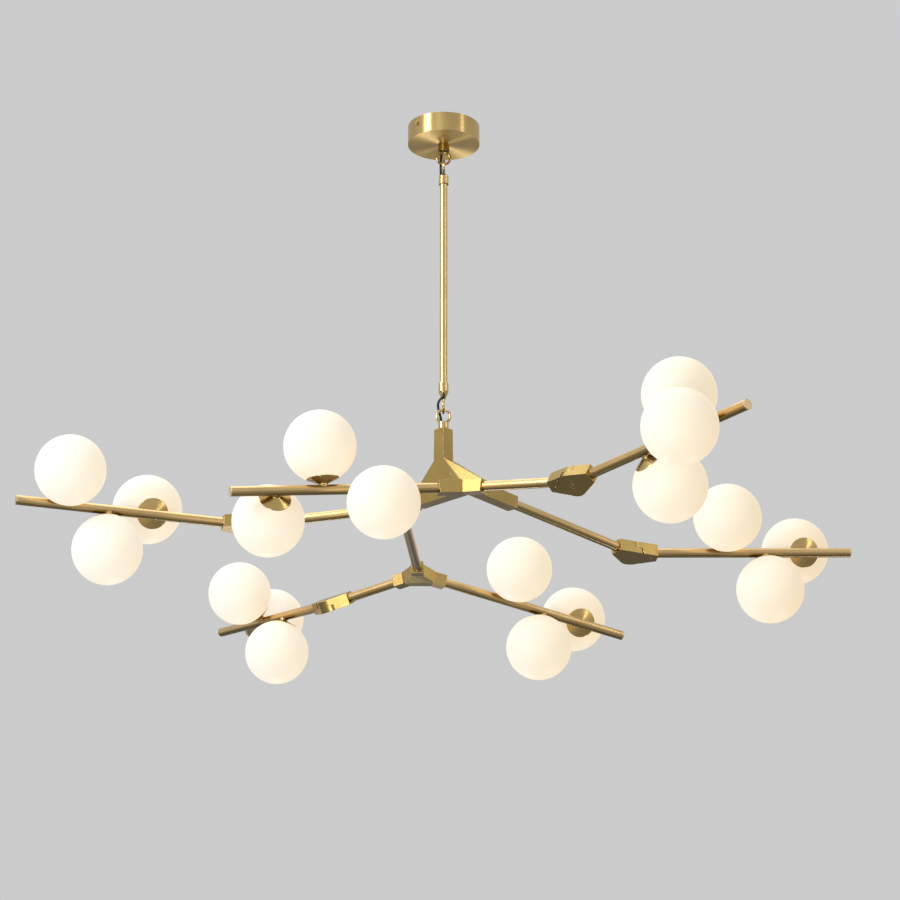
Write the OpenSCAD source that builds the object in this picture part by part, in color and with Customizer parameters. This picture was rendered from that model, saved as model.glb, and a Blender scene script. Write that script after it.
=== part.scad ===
// Branch chandelier. A long rod hangs from a ceiling canopy by two linked
// eyes and carries a frame of square hubs and round arm tubes. Six branch
// tubes each hold three glass globes, a third of a turn apart, and four of
// them are set by flat folding knuckles. Millimetres, +Z up.
// Origin: the ceiling face of the bracket, on the axis of the rod.
// Turns are counted from +X towards +Y, rises from the horizontal.

/* [Canopy] */
// Diameter of the canopy cover
canopy_d = 125; // [110:1:150]
// Height of the canopy cover
canopy_h = 34; // [28:1:45]
// Thickness of the canopy sheet
canopy_wall = 1.5; // [1:0.1:2.5]
// Width of the ceiling bracket bar
bracket_w = 22; // [18:1:30]
// Thickness of the ceiling bracket bar
bracket_t = 2; // [1.5:0.1:3]
// Turn of the ceiling bracket about the rod axis
bracket_turn = 42.6; // [0:0.1:180]
// Circle through the two ceiling screw holes
ceiling_hole_pcd = 70; // [50:1:85]
// Diameter of a ceiling screw hole
ceiling_hole_d = 5.2; // [4:0.1:6.5]
// Diameter of the hollow stem below the bracket
stem_d = 10; // [8:0.5:11]
// Bore of the hollow stem
stem_bore = 6; // [5:0.1:6.5]
// Depth of the canopy side screws below the ceiling
side_screw_drop = 11; // [8:0.5:16]
// Shank diameter of a canopy side screw
side_screw_d = 4; // [3:0.1:5]

/* [Linked eyes] */
// Diameter of the boss under the canopy
boss_d = 20; // [18:0.5:26]
// Height of the boss under the canopy
boss_h = 13; // [12:0.5:20]
// Outer diameter of each eye
eye_d = 27; // [25:0.5:32]
// Diameter of the round wire of each eye
eye_wire = 4.5; // [4:0.1:5]
// Gap between two linked eyes
eye_gap = 0.3; // [0.2:0.05:0.5]
// Height of the neck between the upper rod eye and its coupling
upper_neck_h = 5; // [4:0.5:10]
// Height of the neck between the lower rod eye and its coupling
lower_neck_h = 13; // [12:0.5:20]
// Diameter of the couplings at the rod ends
coupling_d = 17; // [16.5:0.1:22]
// Height of each coupling
coupling_h = 15; // [14:0.5:20]

/* [Rod] */
// Diameter of the rod
rod_d = 13; // [12:0.1:14]
// Wall of the rod
rod_wall = 1.5; // [1:0.1:2]
// Visible length of the rod between its couplings
rod_len = 370; // [200:5:900]
// Depth of the rod inside each coupling
rod_insert = 5; // [4:0.5:7]
// Diameter of the lead wire
lead_d = 4.2; // [3.5:0.1:4.4]

/* [Hubs] */
// Side of the square hub sockets
hub_side = 22; // [21:0.5:26]
// Height of the turned foot of the frame eye
eye_foot_h = 12; // [10:0.5:18]
// Diameter of the turned foot of the frame eye
eye_foot_d = 18; // [17.5:0.5:22]
// Height of the square post above the main hub's shoulders
post_h = 55; // [40:1:80]
// Height of the main hub's shoulders
shoulder_h = 47.5; // [35:0.5:60]
// Turn of the main hub's bar towards the corner hub
bar_turn = 134.2; // [130:0.1:138]
// Distance from the rod axis to the fork of the main hub
fork_reach = 48; // [44:1:60]
// Length of the main hub's bar on the corner hub's side
bar_reach = 57; // [50:1:62]
// Distance from the rod axis to the corner hub
corner_reach = 102.5; // [100:0.5:140]
// Turn of the long tube from the corner hub to the lower hub
long_turn = 86.3; // [80:0.1:92]
// Distance from the corner hub to the lower hub
long_len = 400; // [300:5:600]
// Length of the main hub's socket of arm E
socket_e = 41; // [38:0.5:60]
// Length of the main hub's socket of arm F
socket_f = 122; // [60:1:160]
// Height of arm F's root above the fork
root_f_rise = 7; // [0:0.5:8]
// Length of the corner hub's socket towards the main hub
socket_link = 40; // [36:0.5:42]
// Length of the corner hub's other two sockets
socket_corner = 45; // [40:0.5:60]
// Length of the lower hub's sockets
socket_low = 50; // [44:0.5:70]
// Length of the main hub's socket of branch B
socket_b = 46; // [44:0.5:60]

/* [Arms] */
// Turn of arm A
arm_a_turn = 164.8; // [160:0.1:170]
// Rise of arm A
arm_a_rise = -1.8; // [-6:0.1:6]
// Length of arm A from hub centre to knuckle pin
arm_a_len = 275.7; // [230:1:400]
// Turn of arm C
arm_c_turn = 149.8; // [144:0.1:156]
// Rise of arm C
arm_c_rise = -8.4; // [-12:0.1:0]
// Length of arm C from hub centre to knuckle pin
arm_c_len = 193.9; // [170:1:300]
// Turn of arm E
arm_e_turn = -33.7; // [-38:0.1:-30]
// Rise of arm E
arm_e_rise = -7.8; // [-12:0.1:0]
// Length of arm E from hub centre to knuckle pin
arm_e_len = 217; // [180:1:320]
// Turn of arm F
arm_f_turn = 46.3; // [42:0.1:50]
// Rise of arm F
arm_f_rise = -3.3; // [-8:0.1:0]
// Length of arm F from hub centre to knuckle pin
arm_f_len = 434; // [350:1:600]

/* [Branches] */
// Outer diameter of every arm and branch tube
tube_d = 17; // [15:0.1:17.4]
// Wall of every arm and branch tube
tube_wall = 1.2; // [1:0.1:1.8]
// Depth of a tube inside its socket
tube_insert = 20; // [12:0.5:20]
// Depth of a tube inside a knuckle half
knuckle_insert = 17; // [12:0.5:17]
// Visible length of a branch tube with its end plug
branch_len = 356.5; // [340:0.5:420]
// Distance from the socket face to the inner globe
globe_first = 119; // [80:0.5:130]
// Distance between neighbouring globes along the tube
globe_pitch = 79; // [75:0.5:100]
// Turn of branch A
branch_a_turn = 197.7; // [190:0.1:205]
// Rise of branch A
branch_a_rise = 0.9; // [-4:0.1:4]
// Roll of branch A's middle globe from straight up
branch_a_roll = 185.6; // [0:0.1:360]
// Turn of branch B
branch_b_turn = 199.3; // [194:0.1:204]
// Rise of branch B
branch_b_rise = -7.3; // [-10:0.1:-4]
// Roll of branch B's middle globe from straight up
branch_b_roll = 355.5; // [0:0.1:360]
// Turn of branch C
branch_c_turn = 125; // [118:0.1:132]
// Rise of branch C
branch_c_rise = 5.2; // [2:0.1:8]
// Roll of branch C's middle globe from straight up
branch_c_roll = 309.3; // [0:0.1:360]
// Turn of branch D
branch_d_turn = 18.3; // [12:0.1:24]
// Rise of branch D
branch_d_rise = -11.5; // [-14:0.1:-8]
// Roll of branch D's middle globe from straight up
branch_d_roll = 172.5; // [0:0.1:360]
// Turn of branch E
branch_e_turn = -51.4; // [-58:0.1:-46]
// Rise of branch E
branch_e_rise = 2.6; // [0:0.1:6]
// Roll of branch E's middle globe from straight up
branch_e_roll = 350.8; // [0:0.1:360]
// Turn of branch F
branch_f_turn = 9.9; // [4:0.1:16]
// Rise of branch F
branch_f_rise = 3.1; // [0:0.1:6]
// Roll of branch F's middle globe from straight up
branch_f_roll = 168.7; // [0:0.1:360]

/* [Knuckles] */
// Diameter of the round nose of a knuckle half
nose_d = 48; // [44:0.5:50]
// Distance from the knuckle pin to the socket face
knuckle_reach = 44; // [43:0.5:60]
// Diameter of the knuckle bolt shank
bolt_d = 6; // [5:0.1:7]
// Diameter of the knuckle bolt head
bolt_head_d = 9; // [8.5:0.1:12]
// Running clearance of the bolt in the turning half
bolt_play = 0.06; // [0.02:0.01:0.09]
// Gap between the two halves
half_gap = 0.3; // [0.2:0.05:0.5]
// Diameter of a set screw
set_screw_d = 4; // [3:0.1:4.5]

/* [Globes] */
// Outer diameter of a glass globe
globe_d = 120; // [116:1:122]
// Wall of a glass globe
globe_wall = 2.5; // [2:0.1:3.5]
// Diameter of the hole at the foot of a globe
globe_hole_d = 34; // [30:0.5:35]
// Clearance between a tube's surface and the bottom of its globes
globe_lift = 4.6; // [4.4:0.1:6]
// Diameter of a cup's rim
cup_d = 54; // [50:0.5:58]
// Diameter of a cup's neck
cup_neck_d = 15; // [14:0.1:15.5]
// Thickness of a cup's sheet at its rim
cup_wall = 1.1; // [0.9:0.05:1.4]
// Diameter of a lampholder's body
holder_d = 18; // [16:0.5:22]
// Height of a lampholder's body above the cup
holder_h = 18; // [14:0.5:24]
// Diameter of a lamp
lamp_d = 15; // [12:0.5:15.5]
// Height of a lamp above its holder
lamp_h = 34; // [24:1:45]

/* [Hidden] */
$fn = 64;

// Gap all round a tube, a screw or a stem in the piece that holds it
fit_gap = 0.05;
// Gap of a piece laid on a curved seat
seat_gap = 0.1;
// Length by which a cut runs past the face it opens
over = 1;
// Diameter of the passages for the wires inside the hubs
wire_way_d = 9;
// Clearance of the lead wire in its holes
lead_gap = 0.4;

// Branch numbers
A = 0;
B = 1;
C = 2;
D = 3;
E = 4;
F = 5;
// Turn, rise and roll of each branch
BRANCH = [[branch_a_turn, branch_a_rise, branch_a_roll],
    [branch_b_turn, branch_b_rise, branch_b_roll],
    [branch_c_turn, branch_c_rise, branch_c_roll],
    [branch_d_turn, branch_d_rise, branch_d_roll],
    [branch_e_turn, branch_e_rise, branch_e_roll],
    [branch_f_turn, branch_f_rise, branch_f_roll]];

// Heights of the hanging parts, from the ceiling down
eye_r = eye_d / 2;
eye_mid_r = eye_r - eye_wire / 2;
eye_weld = 1;
boss_z = -canopy_h - boss_h;
canopy_eye_z = boss_z + eye_weld - eye_r;
link_drop = 2 * eye_mid_r - eye_wire - eye_gap;
upper_eye_z = canopy_eye_z - link_drop;
coupling_top = upper_eye_z - eye_r + eye_weld - upper_neck_h;
rod_top = coupling_top - coupling_h;
rod_bottom = rod_top - rod_len;
coupling_bottom = rod_bottom - coupling_h;
lower_eye_z = coupling_bottom - lower_neck_h + eye_weld - eye_r;
frame_eye_z = lower_eye_z - link_drop;
foot_top = frame_eye_z - eye_r + eye_weld;
post_top = foot_top - eye_foot_h;
shoulder_top = post_top - post_h;
hub_top = shoulder_top - shoulder_h;
hub_z = hub_top - hub_side / 2;
hub_bottom = hub_top - hub_side;

// Directions and hub centres
function heading(turn, rise) = [cos(turn) * cos(rise), sin(turn) * cos(rise), sin(rise)];
hub_h = [0, 0, hub_z];
fork = hub_h - fork_reach * heading(bar_turn, 0);
fork_f = fork + [0, 0, root_f_rise];
corner = hub_h + corner_reach * heading(bar_turn, 0);
low = corner + long_len * heading(long_turn, 0);

// Arm of each knuckle: root, turn, rise, length, socket length
function arm(i) =
    i == A ? [corner, arm_a_turn, arm_a_rise, arm_a_len, socket_corner] :
    i == C ? [low, arm_c_turn, arm_c_rise, arm_c_len, socket_low] :
    i == E ? [fork, arm_e_turn, arm_e_rise, arm_e_len, socket_e] :
    [fork_f, arm_f_turn, arm_f_rise, arm_f_len, socket_f];
function pivot(i) = arm(i)[0] + arm(i)[3] * heading(arm(i)[1], arm(i)[2]);
// Start of each branch: a knuckle pin or a hub centre
function start(i) = i == B ? fork : i == D ? low : pivot(i);
// Distance from the start of a branch to its socket face
function reach(i) = i == B ? socket_b : i == D ? socket_low : knuckle_reach;

// Roll that brings a piece's local z from straight up onto the vector n
function roll_to(n, turn, rise) =
    atan2(n * [sin(turn), -cos(turn), 0],
          n * [-sin(rise) * cos(turn), -sin(rise) * sin(turn), cos(rise)]);
function unit(v) = v / norm(v);
// Knuckle F is turned over, so its inner half faces down
function pin_side(i) = i == F ? -1 : 1;
// Direction of a knuckle's bolt, from its tip to its head
function pin_axis(i) = pin_side(i) *
    unit(cross(heading(arm(i)[1], arm(i)[2]), heading(BRANCH[i][0], BRANCH[i][1])));

// Places a piece drawn along +x so that it runs along a turn and a rise
module aim(at, turn, rise, roll = 0) {
    translate(at) rotate([roll, -rise, turn]) children();
}

// Places a piece in the frame of branch i
module on_branch(i, roll = 0) {
    aim(start(i), BRANCH[i][0], BRANCH[i][1], roll) children();
}

// Places a piece in the frame of a knuckle half, local z along the bolt
module on_inner(i) {
    turn = arm(i)[1] + 180;
    rise = -arm(i)[2];
    aim(pivot(i), turn, rise, roll_to(pin_axis(i), turn, rise)) children();
}

module on_outer(i) {
    on_branch(i, roll_to(pin_axis(i), BRANCH[i][0], BRANCH[i][1])) children();
}

// Places a piece at each of the three globes of branch i, z away from the tube
module at_globes(i) {
    for (k = [-1, 0, 1]) {
        on_branch(i, BRANCH[i][2] + 120 * k)
            translate([reach(i) + globe_first + globe_pitch * (k + 1), 0, 0]) children();
    }
}

// Rod or bore along +x
module bar_x(d, from, to) {
    translate([from, 0, 0]) rotate([0, 90, 0]) cylinder(d = d, h = to - from);
}

module pipe_x(d, wall, from, to) {
    difference() {
        bar_x(d, from, to);
        bar_x(d - 2 * wall, from - over, to + over);
    }
}

// ---- canopy ----
canopy_in_r = canopy_d / 2 - canopy_wall;
tab_out_r = canopy_in_r - seat_gap;
tab_drop = side_screw_drop + 8;
stem_depth = 4;
stem_end = -canopy_h - stem_depth;
head_d = 7;
head_h = 2.4;

module ceiling_bracket() {
    color("silver") rotate([0, 0, bracket_turn]) difference() {
        union() {
            translate([-tab_out_r + over, -bracket_w / 2, -bracket_t])
                cube([2 * (tab_out_r - over), bracket_w, bracket_t]);
            for (a = [0, 180]) {
                rotate([0, 0, a]) intersection() {
                    translate([tab_out_r - 2 * bracket_t, -bracket_w / 2, -tab_drop])
                        cube([2 * bracket_t, bracket_w, tab_drop]);
                    difference() {
                        translate([0, 0, -tab_drop]) cylinder(r = tab_out_r, h = tab_drop);
                        translate([0, 0, -tab_drop - over])
                            cylinder(r = tab_out_r - bracket_t, h = tab_drop + 2 * over);
                    }
                }
            }
            translate([0, 0, stem_end]) cylinder(d = stem_d, h = -stem_end - over);
        }
        translate([0, 0, stem_end - over]) cylinder(d = stem_bore, h = -stem_end + 2 * over);
        for (x = [-1, 1]) {
            translate([x * ceiling_hole_pcd / 2, 0, -bracket_t - over])
                cylinder(d = ceiling_hole_d, h = bracket_t + 2 * over);
        }
        translate([0, 0, -side_screw_drop])
            bar_x(side_screw_d + 2 * fit_gap, -canopy_d, canopy_d);
    }
}

module canopy_cover() {
    color("goldenrod") difference() {
        translate([0, 0, -canopy_h]) cylinder(d = canopy_d, h = canopy_h, $fn = 96);
        translate([0, 0, -canopy_h + canopy_wall]) cylinder(r = canopy_in_r, h = canopy_h, $fn = 96);
        translate([0, 0, -canopy_h - over]) cylinder(d = stem_d + 2 * seat_gap, h = canopy_wall + 2 * over);
        rotate([0, 0, bracket_turn]) translate([0, 0, -side_screw_drop])
            bar_x(side_screw_d + 2 * fit_gap, -canopy_d, canopy_d);
    }
}

module canopy_side_screws() {
    tip = tab_out_r - bracket_t - over;
    color("goldenrod") for (a = [0, 180]) {
        rotate([0, 0, bracket_turn + a]) translate([0, 0, -side_screw_drop]) difference() {
            union() {
                bar_x(side_screw_d, tip, canopy_d / 2 + head_h / 2);
                bar_x(head_d, canopy_d / 2, canopy_d / 2 + head_h);
            }
            translate([canopy_d / 2 + head_h, 0, 0]) cube([head_h, 0.8, head_d + over], center = true);
        }
    }
}

// ---- linked eyes ----
// A ring in the XZ plane
module eye_ring() {
    rotate([90, 0, 0]) rotate_extrude() translate([eye_mid_r, 0]) circle(d = eye_wire, $fn = 32);
}

lead_hole_d = lead_d + 2 * lead_gap;
// Height of the chambers where the lead wire steps aside
chamber_h = 7;
// Places where the lead wire leaves the boss, the couplings and the frame eye
boss_hole = [-3.4, 4.9];
upper_hole = [-4.9, 0.8];
lower_hole = [0, -4.9];

module canopy_eye() {
    color("goldenrod") difference() {
        union() {
            translate([0, 0, boss_z]) cylinder(d = boss_d, h = boss_h);
            translate([0, 0, canopy_eye_z]) eye_ring();
        }
        translate([0, 0, stem_end]) cylinder(d = stem_d + 2 * fit_gap, h = stem_depth + over);
        translate([0, 0, stem_end - chamber_h]) cylinder(d = boss_d - 5, h = chamber_h);
        translate([boss_hole[0], boss_hole[1], boss_z - over])
            cylinder(d = lead_hole_d, h = boss_h - stem_depth);
    }
}

// A rod eye drawn upwards from its coupling's lower face
module rod_eye(neck_h, hole) {
    ring_z = coupling_h + neck_h - eye_weld + eye_r;
    way = coupling_d / 2 - 0.9;
    difference() {
        union() {
            cylinder(d = coupling_d, h = coupling_h);
            translate([0, 0, coupling_h]) cylinder(d1 = coupling_d, d2 = eye_wire + 2.5, h = neck_h);
            translate([0, 0, ring_z]) rotate([0, 0, 90]) eye_ring();
        }
        translate([0, 0, -over]) cylinder(d = rod_d + 2 * fit_gap, h = rod_insert + over);
        translate([0, 0, rod_insert - over / 2]) cylinder(r = way, h = coupling_h - rod_insert - 2);
        translate([hole[0], hole[1], rod_insert]) cylinder(d = lead_hole_d, h = coupling_h + neck_h);
    }
}

module upper_rod_eye() {
    color("goldenrod") translate([0, 0, rod_top]) rod_eye(upper_neck_h, upper_hole);
}

module lower_rod_eye() {
    color("goldenrod") translate([0, 0, rod_bottom]) rotate([180, 0, 0])
        rod_eye(lower_neck_h, [lower_hole[0], -lower_hole[1]]);
}

module down_rod() {
    rod_from = rod_bottom - rod_insert;
    rod_h = rod_len + 2 * rod_insert;
    color("goldenrod") difference() {
        translate([0, 0, rod_from]) cylinder(d = rod_d, h = rod_h);
        translate([0, 0, rod_from - over]) cylinder(d = rod_d - 2 * rod_wall, h = rod_h + 2 * over);
    }
}

foot_way_d = 6;
foot_stub_d = 12;
foot_stub_h = 10;
foot_floor = 2;

module frame_eye() {
    color("goldenrod") difference() {
        union() {
            translate([0, 0, frame_eye_z]) eye_ring();
            translate([0, 0, post_top]) cylinder(d = eye_foot_d, h = eye_foot_h);
            translate([0, 0, post_top - foot_stub_h]) cylinder(d = foot_stub_d, h = foot_stub_h + over);
        }
        translate([0, 0, post_top - foot_stub_h - over])
            cylinder(d = foot_way_d, h = foot_stub_h + foot_floor + 2 * over);
        translate([0, 0, post_top + foot_floor]) cylinder(d = eye_foot_d - 3, h = chamber_h);
        translate([boss_hole[0], boss_hole[1], post_top + foot_floor + over])
            cylinder(d = lead_hole_d, h = eye_foot_h);
    }
}

// ---- lead wire ----
// Points of the lead wire past the upper eyes, from inside the stem to inside the rod
top_route = [[0, 0, -30], [0, 0, -35], [-0.5, 0.8, -38.8], [-2.6, 3.7, -42.4], [-3.5, 4.9, -45.4],
    [-3.7, 5.2, -50.1], [-4.6, 5.2, -60], [-5.2, 5.2, -70], [-5.2, 4, -80], [-5, 1.5, -88],
    [-5.1, 0.8, -94], [-4.2, 0.7, -98.9], [-1.4, 0.2, -104.2], [0, 0, -110], [0, 0, -120]];
// Points of the lead wire past the lower eyes, from inside the rod to inside the post
bottom_route = [[0, 0, -468], [0, 0, -478], [0, -1.1, -482.9], [0, -3.9, -488.6], [-0.1, -4.9, -493.9],
    [0, -5.2, -500], [-1.3, -6.2, -505.7], [-6.5, -5.1, -511], [-9, -1, -515.9], [-9, 3.9, -521.1],
    [-7.4, 5.8, -528], [-5, 5.4, -538], [-3.6, 5.2, -547], [-3.2, 4.7, -553.9], [-1, 1.4, -558.2],
    [0, 0, -563], [0, 0, -573]];
lead_sides = 8;
// Steps drawn between two points of a route
lead_steps = 2;

// Point on a smooth curve through p1 and p2, at t from 0 to 1
function between(p0, p1, p2, p3, t) =
    0.5 * ((2 * p1) + (p2 - p0) * t + (2 * p0 - 5 * p1 + 4 * p2 - p3) * t * t
    + (3 * p1 - p0 - 3 * p2 + p3) * t * t * t);
function smooth(p) = concat([for (i = [0 : len(p) - 2], s = [0 : lead_steps - 1])
    between(p[max(i - 1, 0)], p[i], p[i + 1], p[min(i + 2, len(p) - 1)], s / lead_steps)],
    [p[len(p) - 1]]);
function tangent(p, i) = unit(p[min(i + 1, len(p) - 1)] - p[max(i - 1, 0)]);

// Round wire swept along a route
module wire(route, d) {
    p = smooth(route);
    rings = len(p);
    points = [for (i = [0 : rings - 1], k = [0 : lead_sides - 1])
        let (t = tangent(p, i), u = unit(cross([0, 1, 0], t)), v = cross(t, u), a = 360 * k / lead_sides)
        p[i] + d / 2 * (cos(a) * u + sin(a) * v)];
    sides = [for (i = [0 : rings - 2], k = [0 : lead_sides - 1])
        let (a = i * lead_sides + k, b = i * lead_sides + (k + 1) % lead_sides)
        each [[a, b + lead_sides, b], [a, a + lead_sides, b + lead_sides]]];
    first = [for (k = [1 : lead_sides - 2]) [0, k, k + 1]];
    base = (rings - 1) * lead_sides;
    last = [for (k = [1 : lead_sides - 2]) [base, base + k + 1, base + k]];
    polyhedron(points, concat(sides, first, last));
}

module lead_wire_top() {
    color("black") wire(top_route, lead_d);
}

module lead_wire_bottom() {
    color("black") wire(bottom_route, lead_d);
}

// ---- hubs ----
socket_bore_d = tube_d + 2 * fit_gap;
screw_hole_d = set_screw_d + 2 * fit_gap;
screw_len = (hub_side - tube_d) / 2 - 0.4;
screw_sink = 0.3;

// Depth of a web's faces below those of its sockets
web_inset = 0.4;
// Diameter of a hub's chamber, and its height above and below the middle of the hub
chamber_d = 16;
chamber_rise = 5.5;

// Square socket along +x, the bores in it, and the block that a web takes in
module socket(length, side = hub_side) {
    translate([0, -side / 2, -side / 2]) cube([length, side, side]);
}

module socket_bores(length) {
    bar_x(wire_way_d, 0, length);
    bar_x(socket_bore_d, length - tube_insert, length + over);
}

// Upright round chamber where the wire ways of a hub meet
module wire_chamber(at, up = chamber_rise) {
    translate(at - [0, 0, chamber_rise]) cylinder(d = chamber_d, h = up + chamber_rise);
}

// Draws its child along arm i, from the centre of its hub
module arm_root(i) {
    aim(arm(i)[0], arm(i)[1], arm(i)[2]) children();
}

// Set screw standing along +z, its top just under the plane z = 0
module set_screw() {
    translate([0, 0, -screw_len - screw_sink]) difference() {
        cylinder(d = set_screw_d, h = screw_len);
        translate([0, 0, screw_len - 1.2]) cylinder(d = set_screw_d / 2, h = 1.2 + over, $fn = 6);
    }
}

// Hole of a set screw, from its face to the middle of the socket
module set_screw_hole() {
    translate([0, 0, -hub_side / 2]) cylinder(d = screw_hole_d, h = hub_side / 2 + over);
}

// Plane of the main hub's plate: local x along the bar, local z across it
module in_bar_plane() {
    rotate([0, 0, bar_turn]) rotate([90, 0, 0]) children();
}

shoulder_half = hub_side / 2 + 1;
// Places of the three set screws on the plate's front face
plate_screws = [[0, post_top - 8], [36, hub_top + 10], [-30, hub_top + 14]];

module plate_screw_places() {
    for (p = plate_screws) {
        in_bar_plane() translate([p[0], p[1], -hub_side / 2]) rotate([180, 0, 0]) children();
    }
}

module main_hub() {
    half = hub_side / 2;
    inner = half - web_inset;
    color("darkgoldenrod") difference() {
        union() {
            in_bar_plane() translate([0, 0, -half]) linear_extrude(hub_side) polygon([
                [-half, post_top], [half, post_top], [shoulder_half, shoulder_top],
                [bar_reach, hub_top + 3], [bar_reach, hub_bottom], [-fork_reach, hub_bottom],
                [-fork_reach, hub_top + 3], [-shoulder_half, shoulder_top]]);
            aim(fork, BRANCH[B][0], BRANCH[B][1]) socket(socket_b);
            arm_root(E) socket(socket_e);
            arm_root(F) socket(socket_f);
            hull() {
                rotate([0, 0, bar_turn]) translate([-inner, -inner, shoulder_top])
                    cube([2 * inner, 2 * inner, over]);
                arm_root(E) translate([web_inset, -inner, 0])
                    cube([socket_e - 2 * web_inset, 2 * inner, inner]);
            }
        }
        translate([0, 0, hub_z]) cylinder(d = wire_way_d, h = post_top - hub_z);
        translate([0, 0, post_top - foot_stub_h])
            cylinder(d = foot_stub_d + 2 * fit_gap, h = foot_stub_h + over);
        aim(fork, bar_turn, 0) socket_bores(fork_reach + bar_reach);
        wire_chamber(hub_h);
        wire_chamber(fork, root_f_rise + chamber_rise);
        aim(fork, BRANCH[B][0], BRANCH[B][1]) socket_bores(socket_b);
        arm_root(E) socket_bores(socket_e);
        arm_root(F) socket_bores(socket_f);
        plate_screw_places() set_screw_hole();
    }
}

// Part of a three-way hub that its webs fill, as a share of the socket length
web_share = 0.6;

// Height of the corner hub's web above the faces of its sockets
flat_web_rise = 1;
// Outline of a flat web that fills the angles between sockets at the given turns
function web_outline(turns, length, half) = [for (t = turns, s = [-1, 1])
    [length * cos(t) - s * half * sin(t), length * sin(t) + s * half * cos(t)]];

module corner_hub() {
    half = hub_side / 2 + flat_web_rise;
    turns = [bar_turn - 180, long_turn, arm_a_turn];
    color("darkgoldenrod") difference() {
        union() {
            corner_ways() socket($way);
            translate(corner - [0, 0, half]) linear_extrude(2 * half)
                polygon(web_outline(turns, web_share * socket_link, half));
        }
        corner_ways() socket_bores($way);
        wire_chamber(corner);
    }
}

// Draws its child along each way of the corner hub, with the way's length in $way
module corner_ways() {
    aim(corner, bar_turn + 180, 0) let ($way = socket_link) children();
    aim(corner, long_turn, 0) let ($way = socket_corner) children();
    arm_root(A) let ($way = socket_corner) children();
}

module lower_ways() {
    aim(low, long_turn + 180, 0) let ($way = socket_low) children();
    aim(low, BRANCH[D][0], BRANCH[D][1]) let ($way = socket_low) children();
    arm_root(C) let ($way = socket_low) children();
}

module lower_screw_place() {
    translate(low - [0, 0, hub_side / 2]) rotate([180, 0, 0]) children();
}

module lower_hub() {
    color("darkgoldenrod") difference() {
        union() {
            lower_ways() socket($way);
            hull() lower_ways() socket($way * web_share, hub_side - 2 * web_inset);
        }
        lower_ways() socket_bores($way);
        wire_chamber(low);
        lower_screw_place() set_screw_hole();
    }
}

module hub_link_tube() {
    color("goldenrod") aim(hub_h, bar_turn, 0)
        pipe_x(tube_d, tube_wall, bar_reach - tube_insert, corner_reach - socket_link + tube_insert);
}

module hub_long_tube() {
    color("goldenrod") aim(corner, long_turn, 0)
        pipe_x(tube_d, tube_wall, socket_corner - tube_insert, long_len - socket_low + tube_insert);
}

module arm_tube(i) {
    color("goldenrod") arm_root(i)
        pipe_x(tube_d, tube_wall, arm(i)[4] - tube_insert, arm(i)[3] - knuckle_reach + knuckle_insert);
}

// ---- knuckles ----
nose_r = nose_d / 2;
// Radius of the hollow shoulder that a half's nose turns in
shoulder_r = nose_r + 1.2;
corner_angle = atan2(hub_side / 2, knuckle_reach);
corner_dist = norm([knuckle_reach, hub_side / 2]);
// Angle at which a straight side leaves the round nose
tangent_angle = corner_angle + acos(nose_r / corner_dist);
half_t = hub_side / 2;
bolt_tip = 8;
head_t = 3.8;
knuckle_screw_x = knuckle_reach - 12;

module half_outline() {
    circle(r = nose_r, $fn = 96);
    polygon([[knuckle_reach, half_t], [knuckle_reach, -half_t],
        [nose_r * cos(tangent_angle), -nose_r * sin(tangent_angle)],
        [nose_r * cos(tangent_angle), nose_r * sin(tangent_angle)]]);
}

// Half of a knuckle with its nose on the +z side of the joint plane
module knuckle_half() {
    translate([0, 0, half_gap / 2]) linear_extrude(half_t - half_gap / 2) half_outline();
    translate([0, 0, -half_t]) linear_extrude(hub_side) difference() {
        half_outline();
        circle(r = shoulder_r, $fn = 96);
    }
}

module knuckle_socket_bores() {
    bar_x(wire_way_d, shoulder_r - over, knuckle_reach);
    bar_x(socket_bore_d, knuckle_reach - knuckle_insert, knuckle_reach + over);
}

module knuckle_inner(i) {
    color("darkgoldenrod") on_inner(i) difference() {
        rotate([180, 0, 0]) knuckle_half();
        knuckle_socket_bores();
        translate([0, 0, -bolt_tip - over / 2]) cylinder(d = bolt_d + 2 * fit_gap, h = bolt_tip + over);
        translate([knuckle_screw_x, 0, half_t]) set_screw_hole();
    }
}

module knuckle_outer(i) {
    color("darkgoldenrod") {
        on_outer(i) difference() {
            knuckle_half();
            knuckle_socket_bores();
            translate([0, 0, -over]) cylinder(d = bolt_d + 2 * bolt_play, h = half_t + 2 * over);
            translate([0, 0, half_t - head_t - 2 * screw_sink])
                cylinder(d = bolt_head_d + 2 * half_gap, h = half_t);
            translate([knuckle_screw_x, 0, -half_t]) rotate([180, 0, 0]) set_screw_hole();
        }
        on_outer(i) translate([knuckle_screw_x, 0, -half_t]) rotate([180, 0, 0]) set_screw();
    }
}

module knuckle_bolts() {
    head_z = half_t - screw_sink - head_t;
    color("gold") for (i = [A, C, E, F]) {
        on_inner(i) difference() {
            union() {
                translate([0, 0, -bolt_tip]) cylinder(d = bolt_d, h = bolt_tip + head_z + over);
                translate([0, 0, head_z]) cylinder(d = bolt_head_d, h = head_t);
            }
            translate([0, 0, head_z + head_t - 2.4]) cylinder(d = 4.6, h = 2.4 + over, $fn = 6);
        }
    }
}

module frame_set_screws() {
    color("gold") {
        plate_screw_places() set_screw();
        lower_screw_place() set_screw();
        for (i = [A, C, E, F]) {
            on_inner(i) translate([knuckle_screw_x, 0, half_t]) set_screw();
        }
    }
}

// ---- branches ----
plug_cap = 2;
plug_h = 10;
nipple_d = 9.6;
nipple_bore = 6;
// Height of a globe's centre above its tube's axis
globe_r = globe_d / 2;
globe_z = tube_d / 2 + globe_lift + globe_r;
cup_top_z = globe_z - sqrt(globe_r * globe_r - cup_d * cup_d / 4);
cup_neck_z = tube_d / 2 + 1.3;
cup_seat_z = cup_neck_z + 1.4;

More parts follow.
